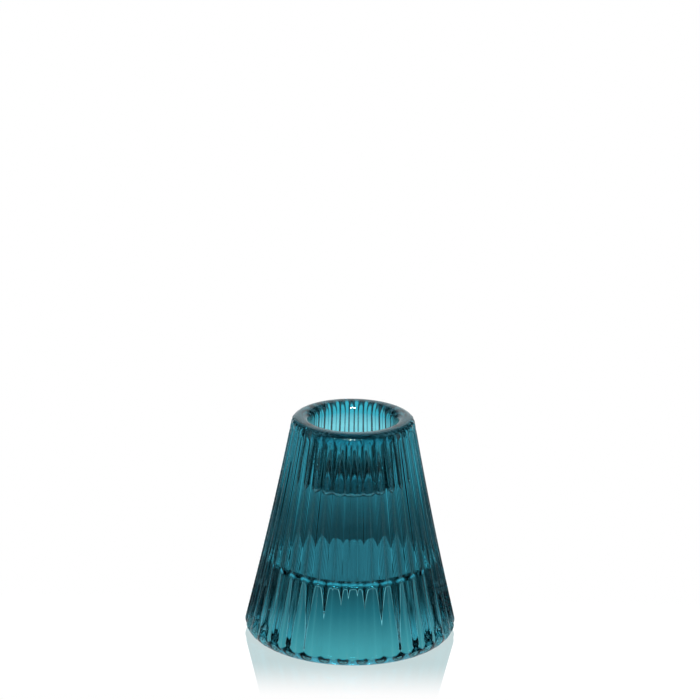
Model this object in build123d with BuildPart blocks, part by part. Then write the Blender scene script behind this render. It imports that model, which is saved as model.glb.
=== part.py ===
"""Ribbed glass bud vase: one pressed glass body, open at the top for a stem and hollow underneath.

Millimetres, +Z up. The origin is the centre of the foot, on the surface the vase rests on.
"""

import os
from math import atan2, cos, radians, sin

from build123d import *

# ---------------------------------------------------------------- driving dimensions
height = 63.4
foot_diameter = 60.0  # over the rib crests, at the foot
rim_diameter = 35.2  # over the rounded rim
waist = 0.4  # how far the wall sags inside a straight cone, halfway up

rib_count = 36
rib_depth_foot = 1.05  # crest to valley at the foot
rib_depth_top = 0.72  # crest to valley under the rim
valley_share = 0.42  # share of each rib's width that belongs to the rounded valleys

foot_round = 2.8  # outer corner of the foot
rim_round = 2.7  # outer roll of the rim
bead_round = 2.25  # the same roll, as it shows between the rib ends
lip_round = 2.8  # inner roll of the rim

stem_socket_diameter = 23.4
stem_socket_floor = 43.4  # height of the socket's floor
stem_socket_round = 2.0  # fillet round that floor

recess_foot_diameter = 46.0  # the recess is drafted, so it is wider at the foot
recess_ceiling_diameter = 40.6
recess_depth = 21.7
recess_round = 2.0  # fillet round its ceiling
foot_inner_round = 1.5  # inner corner of the foot

# ---------------------------------------------------------------- worked-out sizes
foot_radius = foot_diameter / 2
rim_radius = rim_diameter / 2
socket_radius = stem_socket_diameter / 2

# The wall leans in by this angle, tangent to the foot's corner and to the rim's roll.
lean = atan2(foot_radius - rim_radius, height - foot_round - rim_round)

# The rims of the two rolls, where the straight wall meets them.
foot_tangent_r = foot_radius - foot_round * (1 - cos(lean))
foot_tangent_z = foot_round * (1 + sin(lean))
rim_tangent_r = rim_radius - rim_round * (1 - cos(lean))
rim_tangent_z = height - rim_round * (1 - sin(lean))

# The rib crests pass this far inside the roll of the rim.
crest_inset = 0.18
# The ends of the ribs stop this far under the top of the rim, so that the rim itself is smooth.
rib_end_drop = 0.04
# The blank for the ribs runs past both ends and is trimmed by the vase's outline.
overrun = 1.0


def wall_radius(z):
    """Radius of the wall line at height z: a cone that sags slightly towards its middle."""
    along = (z - foot_tangent_z) / (rim_tangent_z - foot_tangent_z)
    return foot_tangent_r + along * (rim_tangent_r - foot_tangent_r) - 4 * waist * along * (1 - along)


def polar_point(radius, angle):
    """A point at an angle from the front of the vase, which is -Y."""
    return (radius * sin(radians(angle)), -radius * cos(radians(angle)))


def ribbed_section(z, depth):
    """Cross-section of the wall at height z: round ribs and rounded valleys, one crest at the front."""
    crest_radius = wall_radius(z) - crest_inset
    bend_radius = crest_radius - depth * (1 - valley_share)
    pitch = 360 / rib_count
    bend = pitch / 2 * (1 - valley_share)
    with BuildSketch(Plane.XY.offset(z)) as section:
        with BuildLine():
            for rib in range(rib_count):
                crest = rib * pitch
                valley = crest + pitch / 2
                ThreePointArc(
                    polar_point(bend_radius, crest - bend),
                    polar_point(crest_radius, crest),
                    polar_point(bend_radius, crest + bend),
                )
                ThreePointArc(
                    polar_point(bend_radius, crest + bend),
                    polar_point(crest_radius - depth, valley),
                    polar_point(bend_radius, crest + pitch - bend),
                )
        make_face()
    return section.sketch


def circles_at(builder, z):
    """The builder's circular edges that lie flat at height z."""
    slack = 0.01
    return builder.edges().filter_by(GeomType.CIRCLE).filter_by_position(Axis.Z, z - slack, z + slack)


# ---------------------------------------------------------------- the glass body
roll_middle = rim_radius - rim_round  # radius of the ring that the roll is wrapped round
outline_top = height - rib_end_drop

with BuildPart() as glass_body:
    # Tapering blank with ribs, through three cross-sections.
    foot_section = ribbed_section(-overrun, rib_depth_foot)
    waist_section = ribbed_section(height / 2, (rib_depth_foot + rib_depth_top) / 2)
    top_section = ribbed_section(height + overrun, rib_depth_top)
    loft([foot_section, waist_section, top_section])

    # Flat foot with a rounded corner and a rolled top, which take the rib ends round with them.
    with BuildSketch(Plane.XZ):
        with BuildLine():
            corner = CenterArc((foot_radius - foot_round, foot_round), foot_round, -90, 90)
            roll = CenterArc((roll_middle, outline_top - rim_round), rim_round, 0, 90)
            Polyline(corner @ 1, (foot_radius, (roll @ 0).Y), roll @ 0)
            Polyline(roll @ 1, (0, outline_top), (0, 0), corner @ 0)
        make_face()
    revolve(axis=Axis.Z, mode=Mode.INTERSECT)

    # Smooth bead round the rim, which fills the valleys between the rib ends.
    with BuildSketch(Plane.XZ):
        with BuildLine():
            bead = CenterArc((roll_middle, height - bead_round), bead_round, -50, 140)
            lip = CenterArc((socket_radius + lip_round, height - lip_round), lip_round, 90, 90)
            Line(bead @ 1, lip @ 0)
            Polyline(lip @ 1, (socket_radius, (bead @ 0).Y), bead @ 0)
        make_face()
    revolve(axis=Axis.Z)

    # Straight round socket for the stem, open at the top.
    with BuildSketch(Plane.XY.offset(stem_socket_floor)):
        Circle(socket_radius)
    extrude(amount=height - stem_socket_floor, mode=Mode.SUBTRACT)
    fillet(circles_at(glass_body, stem_socket_floor), radius=stem_socket_round)

    # Flat-topped recess under the foot, drafted so that the glass leaves the mould.
    with BuildSketch(Plane.XZ):
        with BuildLine():
            Polyline(
                (0, 0),
                (recess_foot_diameter / 2, 0),
                (recess_ceiling_diameter / 2, recess_depth),
                (0, recess_depth),
                close=True,
            )
        make_face()
    revolve(axis=Axis.Z, mode=Mode.SUBTRACT)
    fillet(circles_at(glass_body, recess_depth), radius=recess_round)
    fillet(circles_at(glass_body, 0).sort_by(SortBy.RADIUS)[0], radius=foot_inner_round)

glass_body.part.label = "glass_body"

os.makedirs("parts", exist_ok=True)
export_step(glass_body.part, "parts/glass_body.step")
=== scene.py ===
"""Ribbed teal glass bud vase on a white table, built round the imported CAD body."""

import math

import bmesh
import bpy
import numpy as np
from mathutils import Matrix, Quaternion, Vector


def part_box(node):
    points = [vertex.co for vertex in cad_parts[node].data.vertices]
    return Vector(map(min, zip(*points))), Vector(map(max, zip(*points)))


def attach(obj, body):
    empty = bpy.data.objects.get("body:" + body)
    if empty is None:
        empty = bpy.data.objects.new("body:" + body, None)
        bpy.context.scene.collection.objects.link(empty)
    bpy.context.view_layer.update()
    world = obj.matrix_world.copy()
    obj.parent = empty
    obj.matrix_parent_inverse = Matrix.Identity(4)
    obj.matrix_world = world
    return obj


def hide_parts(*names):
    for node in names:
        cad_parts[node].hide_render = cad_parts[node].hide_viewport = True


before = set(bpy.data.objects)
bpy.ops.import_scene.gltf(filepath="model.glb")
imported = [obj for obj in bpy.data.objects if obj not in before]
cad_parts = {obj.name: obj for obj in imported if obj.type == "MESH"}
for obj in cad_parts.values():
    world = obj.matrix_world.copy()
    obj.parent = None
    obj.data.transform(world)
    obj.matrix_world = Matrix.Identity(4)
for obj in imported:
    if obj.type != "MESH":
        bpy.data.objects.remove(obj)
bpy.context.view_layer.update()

NODE = "glass_body"
MM = 0.001

# ---------------------------------------------------------------- the ribs and their mesh
RIB_COUNT = 36
VALLEY_SHARE = 0.42  # share of each rib's width that belongs to the rounded valleys
BLEND = 0.15 * MM  # softness of the edges where the ribs run into the rim and the foot
BEAD_FADE = 0.25 * MM  # the ribs die out into the smooth rim over this height

CREST_STEPS = 9  # mesh steps from a rib's crest to the start of the valley
VALLEY_STEPS = 4
LIP_STEPS = 14
ROLL_STEPS = 20
FOOT_STEPS = 12
FILLET_STEPS = 7
RECESS_FILLET_STEPS = 9
FLAT_STEPS = 4
WALL_STEPS = 13
UNDER_ROLL = 1.6 * MM  # closer rows start this far under the roll
UNDER_ROLL_STEPS = 5

# ---------------------------------------------------------------- look of the glass
GLASS_IOR = 1.5
SURFACE_TINT = (0.042, 0.395, 0.505, 1)  # outer skin
INNER_TINT = (0.75, 0.92, 0.95, 1)  # skin of the socket and the recess
BODY_TINT = (0.868, 0.82, 0.83, 1)
BODY_DENSITY = 100.0  # per metre
SHEEN = 0.6  # how much of the full reflection shows on the outside
RIPPLE = 0.008 * MM  # depth of the unevenness of the surface
RIPPLE_SCALE = 420.0
RIPPLE_STRETCH = (1, 1, 0.35)  # longer up the wall than across it

# ---------------------------------------------------------------- light, as the glass sees it; on the table it is painted light and shade
# Pairs of bearings are cosines of the level angle from straight behind the vase.
# Painted light and shade on the table: the vase's painted shadow, and the levels out of it.
NEAR_LIGHT = 0.40  # level on the table just behind the vase
FAR_LIGHT = 1.3  # level further out
NEAR_REACH = (0.002, 0.010)  # metres from the foot over which each level is reached
FAR_REACH = (0.024, 0.050)
LIT_BEARING = (0.60, 0.95)
# Painted light on the table round the front of the foot.
FRONT_LIGHT = 1.2
FRONT_REACH = 0.030
FRONT_BEARING = (0.0, 0.5)
# A painted line of light along the inner edge of the foot.
EDGE_LIGHT = 1.3
EDGE_WIDTH = 0.0011
EDGE_BEARING = (0.3, 0.6)
# Painted light and shade on the table under the recess.
UNDER_FAR = (0.05, 0.12, 0.14, 1)
UNDER_MIDDLE = (0.11, 0.31, 0.345, 1)
UNDER_MIDDLE_PLACE = 0.6  # share of the way back under the recess
UNDER_NEAR = (0.42, 0.74, 0.73, 1)
# Painted light beside the vase on the table; in the world, the side panels' own light.
SIDE_LIGHT = 0.5
SIDE_EDGE = (0.05, 0.20)
BACKDROP_LIGHT = 1.3
BACKDROP_EDGE = (0.85, 0.99)
BACKDROP_TOP = (0.75, 0.95)  # sines of the angle above the table where the backdrop ends
LAMP_PLACE = (0, -0.8, 0.5)
LAMP_SIZE = 0.22
LAMP_POWER = 14.0

# ---------------------------------------------------------------- mirror image on the table
MIRROR_SHARE = 0.5
MIRROR_ROUGHNESS = 0.02
MIRROR_FRONT = (0.020, -0.006)  # the image fades in over this stretch in front of the foot
MIRROR_BACK = 0.02  # and fades out again behind the vase's middle
MIRROR_VIEW = (0.45, 0.75)  # sines of the camera's rise over which it fades out
# A painted teal glow of the vase in the table's mirror image.
MIRROR_GLOW = (0.16, 0.62, 0.66, 1)
MIRROR_GLOW_SHARE = 0.5


# ---------------------------------------------------------------- sizes, read off the CAD body
cad_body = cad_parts[NODE]
low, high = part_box(NODE)
height = high.z
foot_radius = (high.x - low.x) / 2


def probe(origin, direction):
    """The point where a ray first meets the CAD body."""
    hit, point, _, _ = cad_body.ray_cast(Vector(origin), Vector(direction))
    assert hit, "the ray misses the body"
    return point


def radius_outside(z, angle):
    """Radius of the outer wall at height z, angle in radians from the front."""
    direction = Vector((math.sin(angle), -math.cos(angle), 0))
    start = direction * (2 * foot_radius) + Vector((0, 0, z))
    return probe(start, -direction).xy.length


crest, valley = 0.0, math.pi / RIB_COUNT
socket_floor = probe((0, 0, 2 * height), (0, 0, -1)).z
recess_ceiling = probe((0, 0, -height), (0, 0, 1)).z
socket_radius = probe((0, 0, (socket_floor + height) / 2), (1, 0, 0)).x

# The rounded edges and the rim, as in the CAD body.
foot_round = 2.8 * MM
rim_round = 2.7 * MM
bead_round = 2.25 * MM
lip_round = 2.8 * MM
socket_round = 2.0 * MM
recess_round = 2.0 * MM
foot_inner_round = 1.5 * MM
rib_end_drop = 0.04 * MM
rim_radius = 17.6 * MM

# The ribs run into the foot's corner below the first height, and into the rim above the second.
corner_zone_top = 2 * foot_round
rim_zone_bottom = height - 1.9 * bead_round

recess_top_radius = probe((0, 0, recess_ceiling - recess_round), (1, 0, 0)).x
recess_mid_radius = probe((0, 0, recess_ceiling / 2), (1, 0, 0)).x
recess_draft = (recess_mid_radius - recess_top_radius) / (recess_ceiling / 2 - recess_round)
recess_foot_radius = recess_top_radius + recess_draft * (recess_ceiling - recess_round)

# The wall line sags a little, so it is measured at three heights and drawn as one curve.
wall_heights = [0.10 * height, 0.50 * height, 0.90 * height]
crest_line = np.polyfit(wall_heights, [radius_outside(z, crest) for z in wall_heights], 2)
depth_line = np.polyfit(
    wall_heights, [radius_outside(z, crest) - radius_outside(z, valley) for z in wall_heights], 1
)
roll_middle = rim_radius - rim_round


# ---------------------------------------------------------------- the glass mesh
def arc(centre, radius, start, end, steps):
    """Points along an arc, angles in degrees, in the plane of radius and height."""
    points = []
    for i in range(steps + 1):
        angle = math.radians(start + (end - start) * i / steps)
        points.append((centre[0] + radius * math.cos(angle), centre[1] + radius * math.sin(angle)))
    return points


def between(start, end, steps):
    """Points strictly between two points."""
    return [
        (start[0] + (end[0] - start[0]) * i / steps, start[1] + (end[1] - start[1]) * i / steps)
        for i in range(1, steps)
    ]


def soft_min(first, second):
    """The smaller of two radii, with the corner between them rounded off."""
    share = np.clip(0.5 + 0.5 * (second - first) / BLEND, 0, 1)
    return second + (first - second) * share - BLEND * share * (1 - share)


def soft_max(first, second):
    """The larger of two radii, with the corner between them rounded off."""
    return -soft_min(-first, -second)


def outside_heights():
    """Heights of the mesh rows, close together round the foot's corner and the rim's roll."""
    corner = [z for _, z in arc((0, foot_round), foot_round, -90, 0, FOOT_STEPS)]
    roll = [z for _, z in arc((0, height - rim_round), rim_round, 0, 90, ROLL_STEPS)]
    roll_start = roll[0] - UNDER_ROLL
    wall = list(np.linspace(corner[-1], roll_start, WALL_STEPS + 1)[1:-1])
    under_roll = list(np.linspace(roll_start, roll[0], UNDER_ROLL_STEPS + 1)[:-1])
    return corner + wall + under_roll + roll


def outside_radius(z, shape):
    """Outer radius at height z, where shape runs from 0 on a crest to 1 in a valley."""
    ribs = np.polyval(crest_line, z) - np.polyval(depth_line, z) * shape
    below = np.clip(foot_round - z, 0, foot_round)
    foot = foot_radius - foot_round + math.sqrt(foot_round**2 - below**2) + np.zeros_like(shape)
    above = np.clip(z - (height - rib_end_drop - rim_round), 0, rim_round)
    roll = roll_middle + math.sqrt(rim_round**2 - above**2) + np.zeros_like(shape)
    offset = min(abs(z - (height - bead_round)), bead_round)
    bead = roll_middle + math.sqrt(bead_round**2 - offset**2) + np.zeros_like(shape)
    if z < corner_zone_top:
        return soft_min(ribs, foot)
    if z > rim_zone_bottom:
        ribs = soft_min(ribs, roll)
        end = np.clip((height - z) / BEAD_FADE, 0, 1)
        return soft_max(ribs, bead) * end + bead * (1 - end)
    return ribs


def socket_profile():
    """Lip, socket wall and socket floor, from the rim down to the axis."""
    lip = arc((socket_radius + lip_round, height - lip_round), lip_round, 90, 180, LIP_STEPS)
    corner = (socket_radius - socket_round, socket_floor + socket_round)
    fillet = arc(corner, socket_round, 0, -90, FILLET_STEPS)
    floor = between(fillet[-1], (0, socket_floor), FLAT_STEPS)
    return lip + between(lip[-1], fillet[0], FLAT_STEPS) + fillet + floor


def recess_profile():
    """Recess ceiling, recess wall and inner foot corner, from the axis down to the foot."""
    corner = (recess_top_radius - recess_round, recess_ceiling - recess_round)
    fillet = arc(corner, recess_round, 90, 0, RECESS_FILLET_STEPS)
    foot_corner = (recess_foot_radius + foot_inner_round, foot_inner_round)
    foot = arc(foot_corner, foot_inner_round, 180, 270, FILLET_STEPS)
    ceiling = between((0, recess_ceiling), fillet[0], FLAT_STEPS)
    return ceiling + fillet + between(fillet[-1], foot[0], FLAT_STEPS) + foot


def rib_columns():
    """Bearings of the mesh columns, and how far each lies from crest (0) to valley (1)."""
    depth = np.polyval(depth_line, height / 2)
    half_pitch = np.polyval(crest_line, height / 2) * math.pi / RIB_COUNT
    # An arc round the crest and an arc round the valley meet where both are steepest.
    steepest = 2 * math.atan(depth / half_pitch)
    crest_share = 1 - VALLEY_SHARE
    turn = np.arange(CREST_STEPS + 1) / CREST_STEPS * steepest
    place = crest_share * np.sin(turn) / math.sin(steepest)
    drop = crest_share * (1 - np.cos(turn))
    turn = np.arange(1, VALLEY_STEPS + 1) / VALLEY_STEPS * steepest
    back = VALLEY_SHARE * (math.sin(steepest) - np.sin(steepest - turn)) / math.sin(steepest)
    place = np.concatenate([place, crest_share + back])
    fall = VALLEY_SHARE * (np.cos(steepest - turn) - math.cos(steepest))
    drop = np.concatenate([drop, drop[-1] + fall]) / (1 - math.cos(steepest))
    # One rib, from valley to valley, without the second valley.
    place = np.concatenate([-place[::-1], place[1:-1]])
    drop = np.concatenate([drop[::-1], drop[1:-1]])
    rib = np.repeat(np.arange(RIB_COUNT), len(place))
    bearing = (rib + np.tile(place, RIB_COUNT) / 2) * 2 * math.pi / RIB_COUNT
    return bearing, np.tile(drop, RIB_COUNT)


def glass_mesh():
    """One closed skin: down the recess underneath, up the outside, over the rim and down the socket."""
    bearing, shape = rib_columns()
    columns = len(bearing)
    rows = [(radius + 0 * shape, z) for radius, z in recess_profile()]
    rows += [(outside_radius(z, shape), z) for z in outside_heights()]
    rows += [(radius + 0 * shape, z) for radius, z in socket_profile()]
    radius = np.array([row[0] for row in rows])
    z = np.array([np.full(columns, row[1]) for row in rows])
    points = np.stack([radius * np.sin(bearing), -radius * np.cos(bearing), z], axis=-1).reshape(-1, 3)
    poles = [(0, 0, recess_ceiling), (0, 0, socket_floor)]
    points = np.concatenate([points, poles])

    here = np.arange(columns)
    after = (here + 1) % columns
    faces = []
    for row in range(len(rows) - 1):
        below, above = row * columns, (row + 1) * columns
        faces += np.stack([below + here, below + after, above + after, above + here], 1).tolist()
    first_pole, last_pole = len(points) - 2, len(points) - 1
    last_row = (len(rows) - 1) * columns
    faces += [[first_pole, int(b), int(a)] for a, b in zip(here, after)]
    faces += [[last_pole, int(last_row + a), int(last_row + b)] for a, b in zip(here, after)]

    mesh = bpy.data.meshes.new("vase_glass")
    mesh.from_pydata(points.tolist(), [], faces)
    mesh.polygons.foreach_set("use_smooth", [True] * len(mesh.polygons))
    # Marks the outer wall and the lip, which have the stronger tint.
    outside = mesh.attributes.new("outside", "FLOAT", "POINT")
    first = len(recess_profile())
    last = first + len(outside_heights()) + LIP_STEPS + 1
    outside.data.foreach_set("value", [float(first <= i // columns < last) for i in range(len(points))])
    tidy = bmesh.new()
    tidy.from_mesh(mesh)
    bmesh.ops.recalc_face_normals(tidy, faces=tidy.faces)
    tidy.to_mesh(mesh)
    tidy.free()
    return mesh


# ---------------------------------------------------------------- shader helpers
class Nodes:
    """A node tree being filled in, with one method per kind of step."""

    def __init__(self, tree):
        self.tree = tree
        self.tree.nodes.clear()

    def add(self, kind, inputs=None, **settings):
        node = self.tree.nodes.new(kind)
        for name, value in settings.items():
            setattr(node, name, value)
        for name, value in (inputs or {}).items():
            self.plug(node.inputs[name], value)
        return node

    def plug(self, socket, value):
        if isinstance(value, bpy.types.NodeSocket):
            self.tree.links.new(value, socket)
        else:
            socket.default_value = value

    def math(self, operation, *values, clamp=False):
        node = self.add("ShaderNodeMath", operation=operation, use_clamp=clamp)
        for socket, value in zip(node.inputs, values):
            self.plug(socket, value)
        return node.outputs[0]

    def ramp(self, value, start, end, low=0.0, high=1.0, kind="SMOOTHSTEP"):
        """Runs smoothly from low at start to high at end."""
        node = self.add("ShaderNodeMapRange", interpolation_type=kind)
        for name, number in (("From Min", start), ("From Max", end), ("To Min", low), ("To Max", high)):
            node.inputs[name].default_value = number
        self.plug(node.inputs["Value"], value)
        return node.outputs[0]

    def lit_from(self, bearing, edge, level):
        """Light from the backdrop's side, and less from the panels left and right. On the table this
        light is painted; in the world it is the backdrop's own light.
        """
        back = self.ramp(bearing, *edge, 0.0, level)
        side = self.ramp(self.math("ABSOLUTE", bearing), *SIDE_EDGE, SIDE_LIGHT, 0.0)
        return self.math("MAXIMUM", back, side)

    def blend(self, share, first, second):
        """A mix of two shaders, with this share of the second."""
        node = self.add("ShaderNodeMixShader")
        for socket, value in zip(node.inputs, (share, first, second)):
            self.plug(socket, value)
        return node.outputs[0]

    def mix_colours(self, share, first, second):
        """A mix of two colours, with this share of the second."""
        node = self.add("ShaderNodeMix", {"Factor": share}, data_type="RGBA")
        # Sockets 6 and 7 are the colours. Those before them are for plain numbers and vectors.
        self.plug(node.inputs[6], first)
        self.plug(node.inputs[7], second)
        return node.outputs[2]

    def dot(self, first, second):
        node = self.add("ShaderNodeVectorMath", operation="DOT_PRODUCT")
        self.plug(node.inputs[0], first)
        self.plug(node.inputs[1], second)
        return node.outputs["Value"]

    def level(self, direction):
        """The direction with its height taken out, at unit length."""
        flat = self.add("ShaderNodeVectorMath", operation="MULTIPLY")
        self.plug(flat.inputs[0], direction)
        flat.inputs[1].default_value = (1, 1, 0)
        unit = self.add("ShaderNodeVectorMath", operation="NORMALIZE")
        self.plug(unit.inputs[0], flat.outputs[0])
        return unit.outputs[0]

    def away_from_camera(self):
        """The level direction from the camera to the vase, so that the set turns with the camera."""
        turn = self.add(
            "ShaderNodeVectorTransform", vector_type="VECTOR", convert_from="CAMERA", convert_to="WORLD"
        )
        turn.inputs[0].default_value = (0, 0, 1)
        return self.level(turn.outputs[0])


# ---------------------------------------------------------------- materials
def teal_glass():
    """Clear glass whose colour sits both in its skin and in its depth."""
    material = bpy.data.materials.new("teal_glass")
    material.use_nodes = True
    nodes = Nodes(material.node_tree)
    outside = nodes.add("ShaderNodeAttribute", attribute_name="outside").outputs["Fac"]
    tint = nodes.mix_colours(outside, INNER_TINT, SURFACE_TINT)
    skin = nodes.add(
        "ShaderNodeBsdfPrincipled",
        {
            "Base Color": tint,
            "Roughness": 0.0,
            "IOR": GLASS_IOR,
            "Transmission Weight": 1.0,
        },
    )
    geometry = nodes.add("ShaderNodeNewGeometry")
    streaks = nodes.add("ShaderNodeVectorMath", operation="MULTIPLY")
    nodes.plug(streaks.inputs[0], geometry.outputs["Position"])
    nodes.plug(streaks.inputs[1], RIPPLE_STRETCH)
    noise = nodes.add(
        "ShaderNodeTexNoise", {"Vector": streaks.outputs[0], "Scale": RIPPLE_SCALE, "Detail": 1.0}
    )
    bump = nodes.add("ShaderNodeBump", {"Strength": 1.0, "Distance": RIPPLE, "Height": noise.outputs[0]})
    nodes.plug(skin.inputs["Normal"], bump.outputs[0])
    # From outside the glass reflects less than it would in a bright room.
    # Each crossing takes the square root of the tint, as the skin does.
    crossing = nodes.add("ShaderNodeGamma", {"Color": tint, "Gamma": 0.5})
    through = nodes.add(
        "ShaderNodeBsdfRefraction",
        {"Color": crossing.outputs[0], "Roughness": 0.0, "IOR": GLASS_IOR, "Normal": bump.outputs[0]},
    )
    muting = nodes.ramp(geometry.outputs["Backfacing"], 0.0, 1.0, 1 - SHEEN, 0.0, "LINEAR")
    muted = nodes.blend(muting, skin.outputs[0], through.outputs[0])
    depth = nodes.add("ShaderNodeVolumeAbsorption", {"Color": BODY_TINT, "Density": BODY_DENSITY})
    # The table's mirror image shows the vase lit from inside, by a painted teal glow.
    path = nodes.add("ShaderNodeLightPath")
    first_bounce = nodes.math("LESS_THAN", path.outputs["Ray Depth"], 1.5)
    straight = nodes.math("SUBTRACT", 1.0, path.outputs["Is Transmission Ray"])
    reflected = nodes.math("MULTIPLY", path.outputs["Is Glossy Ray"], straight)
    mirrored = nodes.math("MULTIPLY", reflected, first_bounce)
    glow = nodes.add("ShaderNodeEmission", {"Color": MIRROR_GLOW, "Strength": 1.0})
    surface = nodes.blend(nodes.math("MULTIPLY", mirrored, MIRROR_GLOW_SHARE), muted, glow.outputs[0])
    nodes.add("ShaderNodeOutputMaterial", {"Surface": surface, "Volume": depth.outputs[0]})
    return material


def white_table():
    """White to the camera, with a faint mirror image. The glass sees painted light and shade on it: lit
    behind, and dim close in.
    """
    material = bpy.data.materials.new("white_table")
    material.use_nodes = True
    nodes = Nodes(material.node_tree)

    geometry = nodes.add("ShaderNodeNewGeometry")
    position = geometry.outputs["Position"]
    away = nodes.away_from_camera()
    behind = nodes.dot(position, away)
    distance = nodes.add("ShaderNodeVectorMath", operation="LENGTH")
    nodes.plug(distance.inputs[0], position)
    distance = distance.outputs["Value"]

    # Behind the vase the table brightens in two steps, out of the vase's own shadow. Both steps and the
    # shadow are painted light and shade.
    near_start, near_end = (foot_radius + reach for reach in NEAR_REACH)
    far_start, far_end = (foot_radius + reach for reach in FAR_REACH)
    lit = nodes.math(
        "ADD",
        nodes.ramp(distance, near_start, near_end, 0.0, NEAR_LIGHT),
        nodes.ramp(distance, far_start, far_end, 0.0, FAR_LIGHT - NEAR_LIGHT),
    )
    bearing = nodes.math("DIVIDE", behind, nodes.math("MAXIMUM", distance, MM))
    lit = nodes.math("MULTIPLY", lit, nodes.lit_from(bearing, LIT_BEARING, 1.0))
    # Painted light round the front and the sides of the foot.
    front = nodes.ramp(distance, foot_radius - 2 * MM, foot_radius + FRONT_REACH, FRONT_LIGHT, 0.0)
    front = nodes.math("MULTIPLY", front, nodes.ramp(bearing, *FRONT_BEARING, 1.0, 0.0))
    # Painted light gathers along the inner edge of the foot at the back.
    edge_bearing = nodes.ramp(bearing, *EDGE_BEARING)
    edge_in = nodes.ramp(distance, recess_foot_radius - EDGE_WIDTH, recess_foot_radius, 0.0, EDGE_LIGHT)
    edge_out = nodes.ramp(distance, recess_foot_radius, recess_foot_radius + EDGE_WIDTH, 1.0, 0.0)
    edge = nodes.math("MULTIPLY", nodes.math("MULTIPLY", edge_in, edge_out), edge_bearing)
    outside = nodes.math("MAXIMUM", nodes.math("MAXIMUM", lit, front), edge)
    # Under the recess painted light stands for light that has come through the glass, strongest on the
    # camera's side.
    depth_in = nodes.ramp(behind, -recess_foot_radius, recess_foot_radius, kind="LINEAR")
    under = nodes.add("ShaderNodeValToRGB", {"Fac": depth_in})
    under.color_ramp.elements[0].color = UNDER_NEAR
    under.color_ramp.elements[1].color = UNDER_FAR
    under.color_ramp.elements.new(UNDER_MIDDLE_PLACE).color = UNDER_MIDDLE
    inside = nodes.ramp(distance, recess_foot_radius - EDGE_WIDTH, recess_foot_radius, 1.0, 0.0)
    glow = nodes.mix_colours(inside, outside, under.outputs["Color"])
    seen_by_glass = nodes.add("ShaderNodeEmission", {"Color": glow, "Strength": 1.0})

    white = nodes.add("ShaderNodeEmission", {"Color": (1, 1, 1, 1), "Strength": 1.0})
    mirror = nodes.add("ShaderNodeBsdfGlossy", {"Color": (1, 1, 1, 1), "Roughness": MIRROR_ROUGHNESS})
    fade_start, fade_end = (-foot_radius - reach for reach in MIRROR_FRONT)
    share = nodes.ramp(behind, fade_start, fade_end, 0.0, MIRROR_SHARE)
    share = nodes.math("MULTIPLY", share, nodes.ramp(behind, 0.0, MIRROR_BACK, 1.0, 0.0))
    view_rise = nodes.dot(geometry.outputs["Incoming"], (0, 0, 1))
    share = nodes.math("MULTIPLY", share, nodes.ramp(view_rise, *MIRROR_VIEW, 1.0, 0.0))
    seen_by_camera = nodes.blend(share, white.outputs[0], mirror.outputs[0])
    camera_ray = nodes.add("ShaderNodeLightPath").outputs["Is Camera Ray"]
    top = nodes.blend(camera_ray, seen_by_glass.outputs[0], seen_by_camera)

    # From below the table isn't there, so the foot can be looked at.
    clear = nodes.add("ShaderNodeBsdfTransparent")
    both = nodes.blend(geometry.outputs["Backfacing"], top, clear.outputs[0])
    nodes.add("ShaderNodeOutputMaterial", {"Surface": both})
    return material


def studio():
    """A bright backdrop that rises behind the vase, and a panel on either side. The rest is dark."""
    world = bpy.data.worlds.new("studio")
    bpy.context.scene.world = world
    world.use_nodes = True
    nodes = Nodes(world.node_tree)
    direction = nodes.add("ShaderNodeTexCoord").outputs["Generated"]
    up = nodes.dot(direction, (0, 0, 1))
    bearing = nodes.dot(nodes.level(direction), nodes.away_from_camera())
    backdrop = nodes.lit_from(bearing, BACKDROP_EDGE, BACKDROP_LIGHT)
    backdrop = nodes.math("MULTIPLY", backdrop, nodes.ramp(up, *BACKDROP_TOP, 1.0, 0.0))
    # The camera itself sees plain white.
    camera_ray = nodes.add("ShaderNodeLightPath").outputs["Is Camera Ray"]
    light = nodes.math("MAXIMUM", backdrop, camera_ray)
    background = nodes.add("ShaderNodeBackground", {"Color": light, "Strength": 1.0})
    nodes.add("ShaderNodeOutputWorld", {"Surface": background.outputs[0]})


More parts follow.
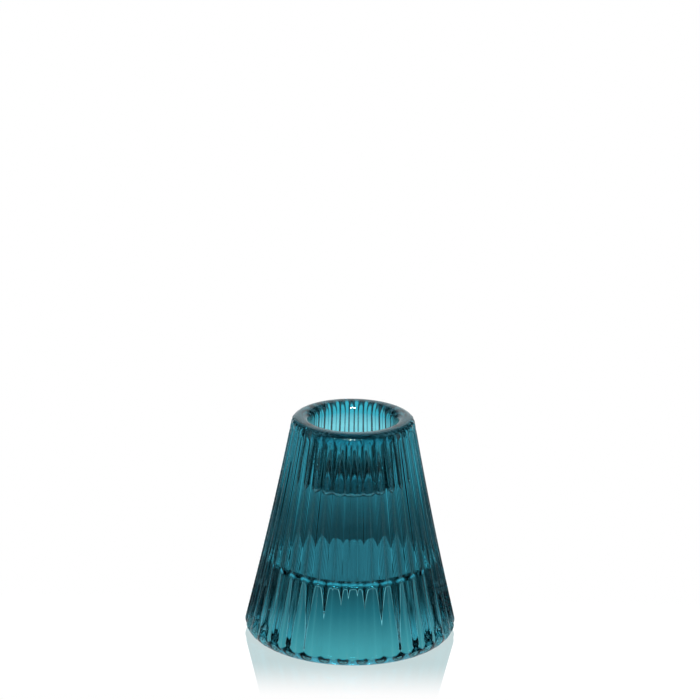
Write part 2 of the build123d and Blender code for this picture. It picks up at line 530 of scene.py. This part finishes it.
def softbox(name, location, size, power):
    """A square light aimed at the middle of the vase."""
    light = bpy.data.lights.new(name, "AREA")
    light.size = size
    light.energy = power
    lamp = bpy.data.objects.new(name, light)
    lamp.location = location
    aim = Vector((0, 0, height / 2)) - Vector(location)
    lamp.rotation_mode = "QUATERNION"
    lamp.rotation_quaternion = aim.to_track_quat("-Z", "Y")
    bpy.context.scene.collection.objects.link(lamp)


# ---------------------------------------------------------------- the vase
vase = bpy.data.objects.new("vase_glass", glass_mesh())
bpy.context.scene.collection.objects.link(vase)
vase.data.materials.append(teal_glass())
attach(vase, "root")
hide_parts(NODE)

# ---------------------------------------------------------------- the set
TABLE_SIZE = 6.0

bpy.ops.mesh.primitive_plane_add(size=TABLE_SIZE)
table = bpy.context.object
table.name = "table"
table.data.materials.append(white_table())
studio()
softbox("front_softbox", LAMP_PLACE, LAMP_SIZE, LAMP_POWER)

# ---------------------------------------------------------------- camera
CAMERA_RISE = 20.9  # degrees above the table
CAMERA_ROLL = 0.9  # degrees
CAMERA_TURN = 1.6  # degrees round the vase, off the crest at the front
CAMERA_DISTANCE = 24 * foot_radius
CAMERA_LENS = 130.63  # mm, on a 36 mm sensor
VASE_RIGHT = 0.034  # degrees from the middle of the view to the middle of the vase
VASE_DOWN = 3.874

rise = math.radians(CAMERA_RISE)
turn = math.radians(CAMERA_TURN)
towards_camera = Vector(
    (-math.sin(turn) * math.cos(rise), -math.cos(turn) * math.cos(rise), math.sin(rise))
)
camera_data = bpy.data.cameras.new("camera")
camera_data.sensor_width = 36
camera_data.lens = CAMERA_LENS
camera = bpy.data.objects.new("camera", camera_data)
camera.location = Vector((0, 0, height / 2)) + towards_camera * CAMERA_DISTANCE
camera.rotation_mode = "QUATERNION"
camera.rotation_quaternion = (
    (-towards_camera).to_track_quat("-Z", "Y")
    @ Quaternion((0, 0, 1), math.radians(CAMERA_ROLL))
    @ Quaternion((1, 0, 0), math.radians(VASE_DOWN))
    @ Quaternion((0, 1, 0), math.radians(VASE_RIGHT))
)
bpy.context.scene.collection.objects.link(camera)
bpy.context.scene.camera = camera

scene = bpy.context.scene
scene.view_settings.view_transform = "Standard"
scene.cycles.max_bounces = 24
scene.cycles.transmission_bounces = 24
scene.cycles.glossy_bounces = 12
scene.cycles.caustics_refractive = True
scene.cycles.caustics_reflective = True
scene.cycles.use_denoising = True
